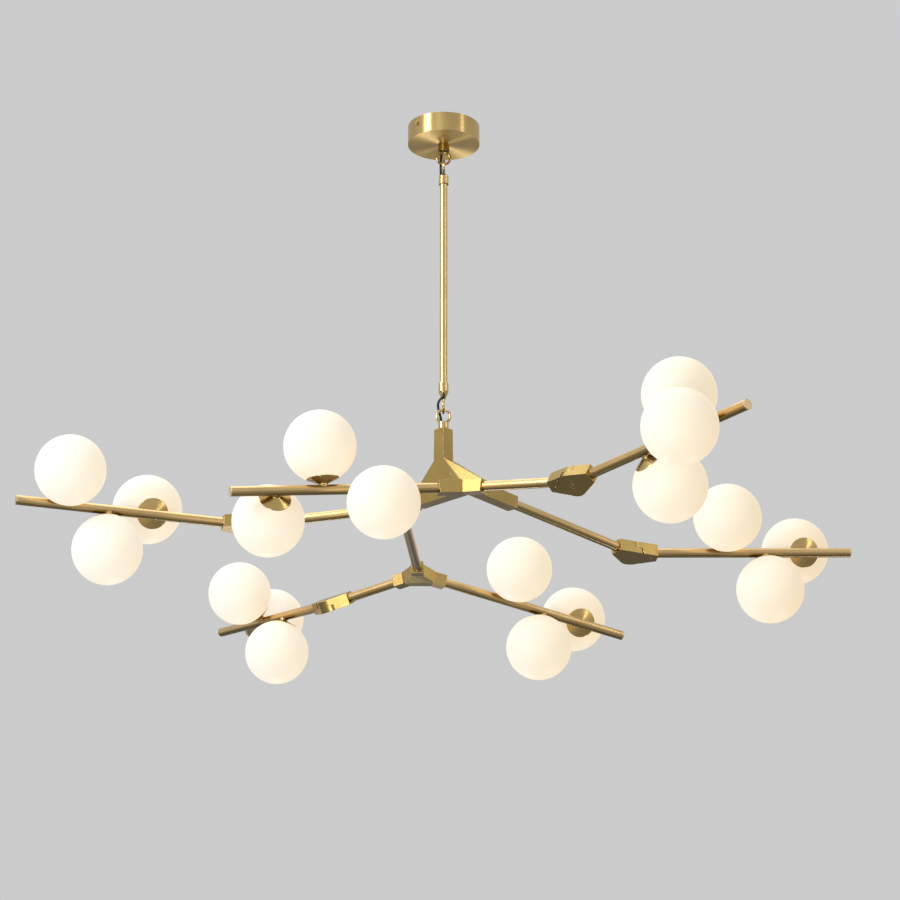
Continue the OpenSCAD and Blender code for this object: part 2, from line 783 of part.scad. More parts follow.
module branch_tube(i) {
    color("goldenrod") difference() {
        on_branch(i)
            pipe_x(tube_d, tube_wall, reach(i) - (i == B || i == D ? tube_insert : knuckle_insert),
                reach(i) + branch_len - plug_cap);
        at_globes(i) cylinder(d = nipple_d + 2 * fit_gap, h = tube_d);
    }
}

module end_plug(i) {
    color("goldenrod") on_branch(i) translate([reach(i) + branch_len, 0, 0]) {
        bar_x(tube_d, -plug_cap, 0);
        bar_x(tube_d - 2 * tube_wall - 2 * fit_gap, -plug_cap - plug_h, -plug_cap);
    }
}

// Brass cup: a neck that sits on the tube and a flared dish that takes the globe
module cups(i) {
    rim_r = cup_d / 2;
    neck_r = cup_neck_d / 2;
    hole_r = nipple_d / 2 + fit_gap;
    wall_r = rim_r - 7.5;
    color("goldenrod") at_globes(i) difference() {
        rotate_extrude($fn = 96) difference() {
            polygon([[hole_r, 2], [neck_r, 2], [neck_r, cup_neck_z], [rim_r, cup_top_z - cup_wall],
                [rim_r, cup_top_z + over], [hole_r, cup_top_z + over]]);
            translate([0, globe_z]) circle(r = globe_r + seat_gap, $fn = 180);
            polygon([[0, cup_seat_z], [neck_r, cup_seat_z], [wall_r, globe_z - globe_r + 3.1],
                [wall_r, cup_top_z + 2 * over], [0, cup_top_z + 2 * over]]);
        }
        bar_x(tube_d + 2 * fit_gap, -cup_d, cup_d);
    }
}

// Opal glass globe, a shell with a round hole at its foot
module globes(i) {
    color("ivory") at_globes(i) translate([0, 0, globe_z]) difference() {
        sphere(d = globe_d, $fn = 96);
        sphere(r = globe_r - globe_wall, $fn = 96);
        translate([0, 0, -globe_d]) cylinder(d = globe_hole_d, h = globe_d);
    }
}

// Lampholder with its hollow nipple, and the ring that clamps the glass
ring_z = globe_z - sqrt(pow(globe_r - globe_wall, 2) - pow(globe_hole_d / 2 + 2, 2)) + seat_gap;
ring_h = 2.5;
holder_base = cup_seat_z + seat_gap;
holder_top = holder_base + holder_h;
lamp_base = holder_top - 6;

module lampholders(i) {
    color("white") at_globes(i) {
        difference() {
            union() {
                translate([0, 0, holder_base]) cylinder(d = holder_d - 4, h = ring_z - holder_base + over);
                translate([0, 0, ring_z]) cylinder(d = holder_d, h = holder_top - ring_z);
                translate([0, 0, tube_d / 2 - tube_wall - 2]) cylinder(d = nipple_d, h = holder_base);
            }
            cylinder(d = nipple_bore, h = holder_top + over);
            translate([0, 0, lamp_base - seat_gap]) cylinder(d = lamp_d + 2 * seat_gap, h = holder_h);
        }
        translate([0, 0, ring_z]) difference() {
            cylinder(d = globe_hole_d + 4, h = ring_h);
            translate([0, 0, -over]) cylinder(d = holder_d + 2 * fit_gap, h = ring_h + 2 * over);
        }
    }
}

module lamps(i) {
    color("lightyellow") at_globes(i) {
        translate([0, 0, lamp_base]) cylinder(d = lamp_d, h = holder_top + lamp_h - lamp_d / 2 - lamp_base);
        translate([0, 0, holder_top + lamp_h - lamp_d / 2]) sphere(d = lamp_d);
    }
}

ceiling_bracket();
canopy_cover();
canopy_side_screws();
canopy_eye();
upper_rod_eye();
down_rod();
lower_rod_eye();
lead_wire_top();
lead_wire_bottom();
frame_eye();
main_hub();
corner_hub();
lower_hub();
hub_link_tube();
hub_long_tube();
arm_tube(A);  // arm_tube_a
arm_tube(C);  // arm_tube_c
arm_tube(E);  // arm_tube_e
arm_tube(F);  // arm_tube_f
knuckle_inner(A);  // knuckle_inner_a
knuckle_inner(C);  // knuckle_inner_c
knuckle_inner(E);  // knuckle_inner_e
knuckle_inner(F);  // knuckle_inner_f
knuckle_bolts();
frame_set_screws();
branch_tube(A);  // branch_tube_a
branch_tube(B);  // branch_tube_b
branch_tube(C);  // branch_tube_c
branch_tube(D);  // branch_tube_d
branch_tube(E);  // branch_tube_e
branch_tube(F);  // branch_tube_f
knuckle_outer(A);  // knuckle_outer_a
knuckle_outer(C);  // knuckle_outer_c
knuckle_outer(E);  // knuckle_outer_e
knuckle_outer(F);  // knuckle_outer_f
for (i = [B, D]) globes(i);  // globes_frame
globes(A);  // globes_a
globes(C);  // globes_c
globes(E);  // globes_e
globes(F);  // globes_f
for (i = [B, D]) cups(i);  // cups_frame
cups(A);  // cups_a
cups(C);  // cups_c
cups(E);  // cups_e
cups(F);  // cups_f
for (i = [B, D]) lampholders(i);  // lampholders_frame
lampholders(A);  // lampholders_a
lampholders(C);  // lampholders_c
lampholders(E);  // lampholders_e
lampholders(F);  // lampholders_f
for (i = [B, D]) lamps(i);  // lamps_frame
lamps(A);  // lamps_a
lamps(C);  // lamps_c
lamps(E);  // lamps_e
lamps(F);  // lamps_f
for (i = [B, D]) end_plug(i);  // end_plugs_frame
end_plug(A);  // end_plugs_a
end_plug(C);  // end_plugs_c
end_plug(E);  // end_plugs_e
end_plug(F);  // end_plugs_f
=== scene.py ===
"""Branch chandelier, dressed for Blender 4.5.

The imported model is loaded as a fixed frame. This script gives every part its
finish, sweeps the black lead past the two pairs of linked eyes, turns the
glass globes and their spun cups, and sets up the studio and the camera.
Metres, +Z up, the ceiling face of the bracket at the origin.
"""

import math

import bmesh
import bpy
import numpy as np
from mathutils import Matrix, Vector


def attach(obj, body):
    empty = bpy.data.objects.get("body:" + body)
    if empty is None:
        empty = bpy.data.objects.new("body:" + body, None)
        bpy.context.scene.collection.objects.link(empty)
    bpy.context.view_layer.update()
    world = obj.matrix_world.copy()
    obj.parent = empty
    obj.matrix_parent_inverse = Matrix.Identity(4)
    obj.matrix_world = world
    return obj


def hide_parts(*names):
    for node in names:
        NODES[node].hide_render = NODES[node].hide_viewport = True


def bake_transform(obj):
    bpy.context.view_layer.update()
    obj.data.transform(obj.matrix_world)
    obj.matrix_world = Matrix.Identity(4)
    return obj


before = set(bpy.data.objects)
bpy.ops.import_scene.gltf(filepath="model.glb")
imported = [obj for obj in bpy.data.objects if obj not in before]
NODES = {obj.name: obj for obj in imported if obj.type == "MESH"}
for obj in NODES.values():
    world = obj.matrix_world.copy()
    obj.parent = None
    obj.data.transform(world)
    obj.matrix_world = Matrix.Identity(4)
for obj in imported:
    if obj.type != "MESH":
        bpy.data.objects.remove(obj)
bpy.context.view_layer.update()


# ---- wires and nodes ----

class Wire:
    """The output of a node. Arithmetic on it adds the Math nodes it needs."""

    def __init__(self, nodes, socket):
        self.nodes = nodes
        self.socket = socket

    def maths(self, operation, *values):
        return self.nodes.node("Math", {"operation": operation}, dict(enumerate(values)))

    def __add__(self, other):
        return self.maths("ADD", self, other)

    def __radd__(self, other):
        return self.maths("ADD", other, self)

    def __sub__(self, other):
        return self.maths("SUBTRACT", self, other)

    def __rsub__(self, other):
        return self.maths("SUBTRACT", other, self)

    def __mul__(self, other):
        return self.maths("MULTIPLY", self, other)

    def __rmul__(self, other):
        return self.maths("MULTIPLY", other, self)

    def limited(self):
        """The value, held between 0 and 1."""
        return self.nodes.node("Clamp", {}, {0: self})

    def stepped(self, low, high):
        """0 below low, 1 above high, and a smooth rise between."""
        return self.nodes.node("MapRange", {"interpolation_type": "SMOOTHSTEP"},
                               {0: self, 1: low, 2: high})


class Nodes:
    """The node tree of a finish or of the world."""

    def __init__(self, tree):
        self.tree = tree

    def node(self, kind, settings, inputs, output=0):
        """Adds a node, sets it up, feeds its sockets and returns one output."""
        made = self.tree.nodes.new("ShaderNode" + kind)
        for name, value in settings.items():
            setattr(made, name, value)
        for key, value in inputs.items():
            self.feed(made.inputs[key], value)
        return Wire(self, made.outputs[output])

    def feed(self, socket, value):
        """Links a wire to a socket, or sets the socket to a plain value."""
        if isinstance(value, Wire):
            self.tree.links.new(value.socket, socket)
        else:
            socket.default_value = value


class Finish(Nodes):
    """A material under construction."""

    def __init__(self, name):
        self.material = bpy.data.materials.new(name)
        self.material.use_nodes = True
        super().__init__(self.material.node_tree)
        self.shader = self.tree.nodes["Principled BSDF"]

    def mix(self, factor, first, second):
        return self.node("Mix", {"data_type": "RGBA"}, {0: factor, 6: first, 7: second}, 2)

    def place(self):
        """A point in the part's own frame, which is the frame of the whole model."""
        return self.node("TexCoord", {}, {}, "Object")

    def facing(self):
        """The way the surface faces in the world."""
        return self.node("NewGeometry", {}, {}, "Normal")

    def coordinate(self, vector, letter):
        return self.node("SeparateXYZ", {}, {0: vector}, letter)

    def vector(self, operation, *values, output=0):
        return self.node("VectorMath", {"operation": operation}, dict(enumerate(values)), output)

    def dot(self, first, second):
        return self.vector("DOT_PRODUCT", first, second, output="Value")

    def scaled(self, vector, factor):
        return self.node("VectorMath", {"operation": "SCALE"}, {0: vector, "Scale": factor})

    def in_world(self, direction):
        """A direction of the part's own frame, as it lies once the part has moved."""
        return self.node("VectorTransform", {"vector_type": "VECTOR", "convert_from": "OBJECT",
                                             "convert_to": "WORLD"}, {0: direction})

    def kept(self, name):
        """A vector that the maker stored at each point of the mesh."""
        return self.node("Attribute", {"attribute_name": name}, {}, "Vector")

    def noise(self, point, scale, detail=2.0, rough=0.5):
        """Noise from 0 to 1, with about as many spots in a metre as its scale."""
        return self.node("TexNoise", {}, {"Vector": point, "Scale": scale, "Detail": detail,
                                          "Roughness": rough})

    def bump(self, height, strength, **under):
        """The normal once the surface is raised by a height in metres. Another Normal may
        lie under it."""
        return self.node("Bump", {}, {"Strength": strength, "Distance": 1.0, "Height": height,
                                      **under})

    def tilt(self, normal, direction, amount):
        """The normal leant along a direction by an amount."""
        return self.vector("NORMALIZE", self.vector("ADD", normal,
                                                    self.scaled(direction, amount)))

    def surface(self, **sockets):
        """Feeds the sockets of the shader and returns the finished material."""
        for name, value in sockets.items():
            self.feed(self.shader.inputs[name.replace("_", " ")], value)
        return self.material


def tone(red, green, blue):
    return (red, green, blue, 1.0)


# ---- brass ----

UP = (0.0, 0.0, 1.0)
DOWN = (0.0, 0.0, -1.0)
# A quarter of the way round, as the shader counts turns
QUARTER_TURN = 0.25

# The plain metal, the canopy and the cups, the drawn tubes, the buffed eyes and screws,
# and the plugs
BRASS = tone(0.50, 0.355, 0.12)
BRASS_BRIGHT = tone(0.66, 0.465, 0.185)
BRASS_ROSE = tone(0.76, 0.52, 0.235)
BRASS_BUFFED = tone(0.74, 0.55, 0.26)
BRASS_PLUG = tone(0.78, 0.62, 0.36)
# What every brass turns to: darker in drifts and spots, paler where hands and polishing
# wore it, and the deep brown of the painted shade that darkens undersides
BRASS_DEEP = tone(0.28, 0.175, 0.045)
BRASS_PAINTED_SHADE = tone(0.055, 0.034, 0.006)
BRASS_WORN = tone(0.80, 0.63, 0.32)
# How far it turns in the drifts, in the spots and along the edges
DRIFT_SHARE = 0.22
SPOT_SHARE = 0.16
WEAR_SHARE = 0.5
# How far the painted shade darkens the undersides
TUBE_PAINTED_SHADE = 0.92
BLOCK_PAINTED_SHADE = 0.8
TURNED_PAINTED_SHADE = 0.6
CANOPY_PAINTED_SHADE = 0.15

# Radii of the eased edges: most parts, milled blocks, small buffed parts
EDGE_RADIUS = 0.0006
BLOCK_EDGE = 0.0009
BUFFED_EDGE = 0.0004

# Marks in one metre: the brushing of turned parts, the drawing of tubes, the milling
TURNED_MARKS = 9000.0
DRAWN_MARKS = 2600.0
MILLED_MARKS = 3200.0
# A mark is long because its noise moves at only this share of the way along it: on a
# tube, in a ring, and on the three axes of a block
DRAWN_RUN = 0.012
RING_RUN = 0.004
LONG_GRAIN = (1.0, 1.0, 0.06)
EVEN_GRAIN = (1.0, 1.0, 1.0)
# How far the marks lean the normal of a tube
DRAWN_LEAN = 0.08
# Heights of the milling marks and the soft clouds of a block, and of a buffed ripple
MILLED_HEIGHT = 0.00004
CLOUD_HEIGHT = 0.0006
RIPPLE_HEIGHT = 0.00035


def edges(finish, radius=EDGE_RADIUS):
    """The normal with its edges eased, and a mask that is 1 along those edges."""
    eased = finish.node("Bevel", {"samples": 4}, {"Radius": radius})
    flatness = finish.dot(eased, finish.facing())
    return eased, (1.0 - flatness).stepped(0.01, 0.16)


def brass_tone(finish, point, edge, base=BRASS, painted_shade=BLOCK_PAINTED_SHADE):
    """Brass with slow drifts of tone, small spots, painted shade on undersides and worn edges.
    """
    drift = finish.noise(point, scale=14.0, detail=3.0, rough=0.55).stepped(0.32, 0.68)
    spots = finish.noise(point, scale=420.0, rough=0.6).stepped(0.62, 0.78)
    colour = finish.mix(drift * DRIFT_SHARE, base, BRASS_DEEP)
    colour = finish.mix(spots * SPOT_SHARE, colour, BRASS_DEEP)
    # Painted shade: faces that look down are darkened towards a deep brown
    underside = finish.dot(finish.facing(), DOWN).stepped(0.15, 0.85)
    colour = finish.mix(underside * painted_shade, colour, BRASS_PAINTED_SHADE)
    return finish.mix(edge * WEAR_SHARE, colour, BRASS_WORN)


def drawn_brass(name, along):
    """Drawn and polished tube: fine marks that run along it."""
    finish = Finish(name)
    point = finish.place()
    axis = tuple(along)
    lengthwise = finish.scaled(axis, finish.dot(point, axis))
    across = finish.vector("SUBTRACT", point, lengthwise)
    slow = finish.vector("ADD", across, finish.scaled(lengthwise, DRAWN_RUN))
    marks = finish.noise(slow, DRAWN_MARKS, rough=0.6)
    broad = finish.noise(slow, scale=500.0)
    eased, edge = edges(finish)
    round_about = finish.vector("CROSS_PRODUCT", finish.in_world(axis), eased)
    normal = finish.tilt(eased, round_about, (marks - 0.5) * DRAWN_LEAN)
    colour = brass_tone(finish, point, edge, BRASS_ROSE, TUBE_PAINTED_SHADE)
    pale_streaks = (broad - 0.35).limited() * 0.4
    colour = finish.mix(pale_streaks, colour, BRASS_WORN)
    return finish.surface(Base_Color=colour, Metallic=1.0,
                          Roughness=0.24 + 0.1 * finish.noise(slow, scale=90.0),
                          Normal=normal)


def turned_brass(name, lean, roughness, base=BRASS, painted_shade=TURNED_PAINTED_SHADE, many=False,
                 wedge=0.0):
    """Spun or turned metal: rings of fine marks about the part's Z axis, or about the
    own axis of each of the many small forms of one piece. The marks lean the normal by
    lean. A wedge above 0 draws the highlights out across the rings, as fine brushing
    does."""
    finish = Finish(name)
    point = finish.place()
    own = finish.kept("own_place") if many else point
    flat = finish.vector("MULTIPLY", own, (1.0, 1.0, 0.0))
    radius = finish.vector("LENGTH", flat, output="Value")
    rings = finish.node("CombineXYZ", {}, {0: radius, 1: finish.dot(own, UP), 2: 0.0})
    rings = finish.vector("ADD", rings, finish.scaled(own, RING_RUN))
    marks = finish.noise(rings, TURNED_MARKS, detail=1.0)
    broad = finish.noise(rings, scale=420.0)
    eased, edge = edges(finish)
    if many:
        way_round = finish.kept("own_round")
    else:
        way_round = finish.vector("CROSS_PRODUCT", UP, finish.vector("NORMALIZE", flat))
    # The marks lean the normal outwards on a flat face, and up or down on the wall
    flank = finish.vector("CROSS_PRODUCT", finish.in_world(way_round), eased)
    normal = finish.tilt(eased, flank, (marks - 0.5) * lean)
    colour = brass_tone(finish, point, edge, base, painted_shade)
    pale_rings = (broad - 0.4).limited() * 0.3
    colour = finish.mix(pale_rings, colour, BRASS_WORN)
    return finish.surface(Base_Color=colour, Metallic=1.0, Anisotropic=wedge,
                          Anisotropic_Rotation=QUARTER_TURN,
                          Roughness=roughness + 0.06 * broad, Normal=normal)


def satin_brass(name, grain, roughness=0.3, base=BRASS):
    """Milled and satin finished block: a fine grain and bright eased edges."""
    finish = Finish(name)
    point = finish.place()
    marks = finish.noise(finish.vector("MULTIPLY", point, grain), MILLED_MARKS, rough=0.6)
    clouds = finish.noise(point, scale=60.0, detail=3.0)
    eased, edge = edges(finish, BLOCK_EDGE)
    height = marks * MILLED_HEIGHT + clouds * CLOUD_HEIGHT
    return finish.surface(Base_Color=brass_tone(finish, point, edge, base), Metallic=1.0,
                          Roughness=roughness + 0.12 * (clouds - 0.5) + 0.06 * marks,
                          Normal=finish.bump(height, strength=0.09, Normal=eased))


def polished_brass(name):
    """Cast and buffed eyes, screws and rings."""
    finish = Finish(name)
    point = finish.place()
    ripple = finish.noise(point, scale=260.0)
    eased, edge = edges(finish, BUFFED_EDGE)
    return finish.surface(Base_Color=brass_tone(finish, point, edge, BRASS_BUFFED),
                          Metallic=1.0, Roughness=0.13 + 0.12 * ripple,
                          Normal=finish.bump(ripple * RIPPLE_HEIGHT, strength=0.5,
                                             Normal=eased))


# ---- steel, glass and plastics ----

STEEL_DARK = tone(0.42, 0.44, 0.46)
STEEL_PALE = tone(0.62, 0.63, 0.64)
STEEL_EDGE = tone(0.78, 0.78, 0.78)
STEEL_WEAR = 0.6
# Shares of red, green and blue that make the grey of a crystal
GREY_SHARES = (0.3, 0.3, 0.3)


def zinc_steel(name):
    """Plated sheet steel with its small crystals."""
    finish = Finish(name)
    crystals = finish.node("TexVoronoi", {}, {"Vector": finish.place(), "Scale": 240.0},
                           "Color")
    grey = finish.dot(crystals, GREY_SHARES)
    eased, edge = edges(finish)
    colour = finish.mix(grey, STEEL_DARK, STEEL_PALE)
    colour = finish.mix(edge * STEEL_WEAR, colour, STEEL_EDGE)
    return finish.surface(Base_Color=colour, Metallic=1.0, Roughness=0.3 + 0.15 * grey,
                          Normal=eased)


# The light of the opal glass on its lit side and on its shaded side
OPAL_LIT = tone(1.0, 0.965, 0.88)
OPAL_SHADED = tone(1.0, 0.80, 0.50)
# The way that the shaded side faces; a longer vector shades it more
SHADED_WAY = (0.62, 0.1, -0.25)
# The warm foot, and the heights above the tube's middle between which it fades
OPAL_FOOT = tone(1.0, 0.80, 0.54)
FOOT_SHARE = 0.45
FOOT_FADE = (0.014, 0.05)
# How dark the glass itself is under the light that it gives
OPAL_BODY = tone(0.06, 0.055, 0.05)
BODY_SHARE = 0.65
# Light that a globe gives by itself, as a share of white
GLOBE_GLOW = 0.66
GLASS_GRAIN_HEIGHT = 0.00003


def opal_glass(name):
    """Satin opal glass, lit from within: warmer at the foot and on the shaded flank."""
    finish = Finish(name)
    own = finish.kept("own_place")
    side = finish.dot(finish.facing(), SHADED_WAY)
    across = finish.coordinate(finish.place(), "X")
    cloud = finish.noise(own, scale=26.0, detail=3.0, rough=0.55)
    # Painted shade: whiter on the lit side, warmer on the side facing SHADED_WAY and towards +X
    # of the model, with a little random cloud
    painted_shade_and_cloud = (0.40 + 0.50 * side + 0.25 * across + 0.12 * (cloud - 0.5)).limited()
    foot = 1.0 - finish.coordinate(own, "Z").stepped(*FOOT_FADE)
    colour = finish.mix(painted_shade_and_cloud, OPAL_LIT, OPAL_SHADED)
    colour = finish.mix(foot * FOOT_SHARE, colour, OPAL_FOOT)
    grain = finish.noise(own, scale=900.0)
    return finish.surface(Base_Color=finish.mix(BODY_SHARE, colour, OPAL_BODY),
                          Roughness=0.42 + 0.08 * grain, IOR=1.45, Specular_IOR_Level=0.2,
                          Normal=finish.bump(grain * GLASS_GRAIN_HEIGHT, strength=0.2),
                          Emission_Color=colour, Emission_Strength=GLOBE_GLOW)


LAMP_AMBER = tone(1.0, 0.83, 0.60)
LAMP_PALE = tone(1.0, 0.90, 0.74)


def lamp_glow(name):
    """The frosted lamp inside a globe."""
    finish = Finish(name)
    cloud = finish.noise(finish.place(), scale=180.0)
    colour = finish.mix(cloud, LAMP_AMBER, LAMP_PALE)
    return finish.surface(Base_Color=colour, Roughness=0.35 + 0.1 * cloud,
                          Emission_Color=colour, Emission_Strength=1.0)


HOLDER_WHITE = tone(0.80, 0.79, 0.76)
HOLDER_SPECK = tone(0.70, 0.69, 0.66)
HOLDER_EDGE = tone(0.88, 0.87, 0.85)
SPECK_HEIGHT = 0.00005


def holder_white(name):
    """Moulded white lampholder."""
    finish = Finish(name)
    speck = finish.noise(finish.place(), scale=1500.0, rough=0.6)
    eased, edge = edges(finish)
    colour = finish.mix(speck * 0.4, HOLDER_WHITE, HOLDER_SPECK)
    colour = finish.mix(edge * WEAR_SHARE, colour, HOLDER_EDGE)
    return finish.surface(Base_Color=colour, Roughness=0.4 + 0.1 * speck,
                          Normal=finish.bump(speck * SPECK_HEIGHT, strength=0.3,
                                             Normal=eased))


SHEATH_BLACK = tone(0.008, 0.008, 0.008)
SHEATH_DUST = tone(0.03, 0.028, 0.025)
# The grain is drawn out down the lead, which mostly hangs
SHEATH_GRAIN = (1.0, 1.0, 0.1)
SHEATH_GRAIN_HEIGHT = 0.00004


def lead_sheath(name):
    """Black plastic sheath of the lead, with dust and a fine extruded grain."""
    finish = Finish(name)
    point = finish.place()
    grain = finish.noise(finish.vector("MULTIPLY", point, SHEATH_GRAIN), scale=2600.0,
                         rough=0.6)
    dust = finish.noise(point, scale=90.0, detail=3.0, rough=0.6).stepped(0.5, 0.8)
    return finish.surface(Base_Color=finish.mix(dust * 0.3, SHEATH_BLACK, SHEATH_DUST),
                          Roughness=0.38 + 0.2 * dust,
                          Normal=finish.bump(grain * SHEATH_GRAIN_HEIGHT, strength=0.4))


# ---- dressing the CAD parts ----

def dress(node, material):
    """Gives a CAD part one material."""
    piece = NODES[node]
    piece.data.materials.clear()
    piece.data.materials.append(material)
    for face in piece.data.polygons:
        face.material_index = 0


def run_of(node):
    """Unit vector along a long part, from the spread of its points."""
    points = np.array([v.co for v in NODES[node].data.vertices])
    spread = np.linalg.eigh(np.cov((points - points.mean(0)).T))[1]
    return Vector(spread[:, -1]).normalized()


for name in NODES:
    if "tube" in name or name == "down_rod":
        dress(name, drawn_brass("drawn_brass_" + name, run_of(name)))

canopy_brass = turned_brass("turned_brass_canopy", lean=0.12, roughness=0.34,
                            base=BRASS_BRIGHT, painted_shade=CANOPY_PAINTED_SHADE, wedge=0.9)
polished = polished_brass("polished_brass")
hub_brass = satin_brass("satin_brass_hubs", LONG_GRAIN)
knuckle_brass = satin_brass("satin_brass_knuckles", EVEN_GRAIN)
plug_brass = satin_brass("satin_brass_plugs", EVEN_GRAIN, roughness=0.34, base=BRASS_PLUG)
holder = holder_white("holder_white")
glow = lamp_glow("lamp_glow")

FINISHES = {
    "ceiling_bracket": zinc_steel("zinc_steel"),
    "canopy_cover": canopy_brass,
    "canopy_side_screws": polished,
    "canopy_eye": turned_brass("turned_brass_boss", lean=0.25, roughness=0.16),
    "upper_rod_eye": polished,
    "lower_rod_eye": polished,
    "frame_eye": polished,
    "main_hub": hub_brass,
    "corner_hub": hub_brass,
    "lower_hub": hub_brass,
    "knuckle_bolts": polished,
    "frame_set_screws": polished,
}
for name in NODES:
    if name in FINISHES:
        dress(name, FINISHES[name])
    elif name.startswith("knuckle_"):
        dress(name, knuckle_brass)
    elif name.startswith("end_plugs"):
        dress(name, plug_brass)
    elif name.startswith("lampholders"):
        dress(name, holder)
    elif name.startswith("lamps"):
        dress(name, glow)


# ---- new pieces ----

# Least angle between two faces that shows as an edge, in degrees
CREASE = 40.0


def finished(name, mesh):
    """Turns a bmesh into a smooth piece of the scene, with its creases kept."""
    bmesh.ops.recalc_face_normals(mesh, faces=mesh.faces)
    data = bpy.data.meshes.new(name)
    mesh.to_mesh(data)
    mesh.free()
    for face in data.polygons:
        face.use_smooth = True
    data.set_sharp_from_angle(angle=math.radians(CREASE))
    piece = bpy.data.objects.new(name, data)
    bpy.context.scene.collection.objects.link(piece)
    return piece


# ---- the black lead past the linked eyes ----

LEAD_DIAMETER = 0.0042
LEAD_SIDES = 20
# Steps of the curve between two points of a route
LEAD_STEPS = 8
TOP_ROUTE = [(0, 0, -0.03), (0, 0, -0.035), (-0.0005, 0.0008, -0.0388),
             (-0.0026, 0.0037, -0.0424), (-0.0035, 0.0049, -0.0454), (-0.0037, 0.0052, -0.0501),
             (-0.0046, 0.0052, -0.06), (-0.0052, 0.0052, -0.07), (-0.0052, 0.004, -0.08),
             (-0.005, 0.0015, -0.088), (-0.0051, 0.0008, -0.094), (-0.0042, 0.0007, -0.0989),
             (-0.0014, 0.0002, -0.1042), (0, 0, -0.11), (0, 0, -0.12)]
BOTTOM_ROUTE = [(0, 0, -0.468), (0, 0, -0.478), (0, -0.0011, -0.4829), (0, -0.0039, -0.4886),
                (-0.0001, -0.0049, -0.4939), (0, -0.0052, -0.5), (-0.0013, -0.0062, -0.5057),
                (-0.0065, -0.0051, -0.511), (-0.009, -0.001, -0.5159), (-0.009, 0.0039, -0.5211),
                (-0.0074, 0.0058, -0.528), (-0.005, 0.0054, -0.538), (-0.0036, 0.0052, -0.547),
                (-0.0032, 0.0047, -0.5539), (-0.001, 0.0014, -0.5582), (0, 0, -0.563),
                (0, 0, -0.573)]


def smoothed(points, steps):
    """Points of a smooth curve through the given ones."""
    made = []
    last = len(points) - 1
    for i in range(last):
        a, b, c, d = (Vector(points[min(max(j, 0), last)]) for j in range(i - 1, i + 3))
        for s in range(steps):
            t = s / steps
            made.append(0.5 * (2 * b + (c - a) * t + (2 * a - 5 * b + 4 * c - d) * t * t
                               + (3 * b - a - 3 * c + d) * t ** 3))
    return made + [Vector(points[last])]


def swept(name, line, radius, sides):
    """A round wire along a line, with closed ends."""
    mesh = bmesh.new()
    rings = []
    up = Vector((0, 1, 0))
    for i, point in enumerate(line):
        ahead = (line[min(i + 1, len(line) - 1)] - line[max(i - 1, 0)]).normalized()
        across = up.cross(ahead).normalized()
        up = ahead.cross(across)
        ring = []
        for k in range(sides):
            angle = 2 * math.pi * k / sides
            out = math.cos(angle) * across + math.sin(angle) * up
            ring.append(mesh.verts.new(point + radius * out))
        rings.append(ring)
    for near, far in zip(rings, rings[1:]):
        for k in range(sides):
            n = (k + 1) % sides
            mesh.faces.new((near[k], near[n], far[n], far[k]))
    mesh.faces.new(rings[0][::-1])
    mesh.faces.new(rings[-1])
    return finished(name, mesh)


def lead(name, node, route):
    """One run of the lead between two bodies, swept along a smooth curve through its route."""
    line = smoothed(route, LEAD_STEPS)
    piece = swept(name, line, LEAD_DIAMETER / 2, LEAD_SIDES)
    piece.data.materials.append(sheath)
    length = sum((b - a).length for a, b in zip(line, line[1:]))
    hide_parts(node)
    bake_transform(piece)
    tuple(route[0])
    [tuple(p) for p in line]


sheath = lead_sheath("lead_sheath")
lead("lead_top", "lead_wire_top", TOP_ROUTE)
lead("lead_bottom", "lead_wire_bottom", BOTTOM_ROUTE)


# ---- globes and cups ----

GLOBE_RADIUS = 0.060
GLOBE_INSIDE = 0.0575
# Height of a globe's middle above the middle of its tube
GLOBE_HEIGHT = 0.0731
HOLE_RADIUS = 0.017
# Distance of the first globe from its socket, and from each globe to the next
GLOBE_FIRST = 0.119
GLOBE_PITCH = 0.079
GLOBES_EACH = 3
# The globes of a branch stand round their tube, this many degrees from each other
GLOBE_TURN = 120.0
GLOBE_SIDES = 72
GLOBE_RINGS = 32
CUP_SIDES = 72
# The saddle of a cup's neck, just clear of the tube
SADDLE_RADIUS = 0.00855
NIPPLE_HOLE = 0.00485
NECK_RADIUS = 0.0075
# A cup's section above its neck: the flare, the rolled rim, the seat of the glass
CUP_SECTION = [(0.0075, 0.0089), (0.00765, 0.0096), (0.0080, 0.00998), (0.0086, 0.01029),
               (0.0125, 0.01201), (0.0170, 0.0140), (0.0220, 0.01621), (0.0263, 0.01811),
               (0.0268, 0.0184), (0.0270, 0.01878), (0.0270, 0.01915), (0.0268, 0.01936),
               (0.0264, 0.01912), (0.0230, 0.01758), (0.0195, 0.0163), (0.0192, 0.01602),
               (0.0075, 0.0112), (0.00485, 0.0112)]

# For each CAD node of globes: its body, and the branches on it, each with its start, turn,
# rise, roll of its middle globe in degrees, and the distance from its start to its socket
BRANCHES = {
    "frame": ("frame", [((0.03346, -0.03441, -0.6759), 199.3, -7.3, 355.5, 0.046),
                        ((-0.04565, 0.47265, -0.6759), 18.3, -11.5, 172.5, 0.050)]),
    "a": ("branch_a", [((-0.3374, 0.1457, -0.6846), 197.7, 0.9, 185.6, 0.044)]),
    "c": ("branch_c", [((-0.2114, 0.5691, -0.7042), 125.0, 5.2, 309.3, 0.044)]),
    "e": ("branch_e", [((0.2123, -0.1537, -0.7054), -51.4, 2.6, 350.8, 0.044)]),
    "f": ("branch_f", [((0.3328, 0.2788, -0.6939), 9.9, 3.1, 168.7, 0.044)]),
}


def stands(branch):
    """Where the globes of a branch stand, each with its own Z along its stem."""
    start, turn, rise, roll, reach = branch
    along = (Matrix.Translation(start) @ Matrix.Rotation(math.radians(turn), 4, "Z")
             @ Matrix.Rotation(math.radians(-rise), 4, "Y"))
    for k in range(GLOBES_EACH):
        yield (along @ Matrix.Rotation(math.radians(roll + GLOBE_TURN * (k - 1)), 4, "X")
               @ Matrix.Translation((reach + GLOBE_FIRST + GLOBE_PITCH * k, 0.0, 0.0)))


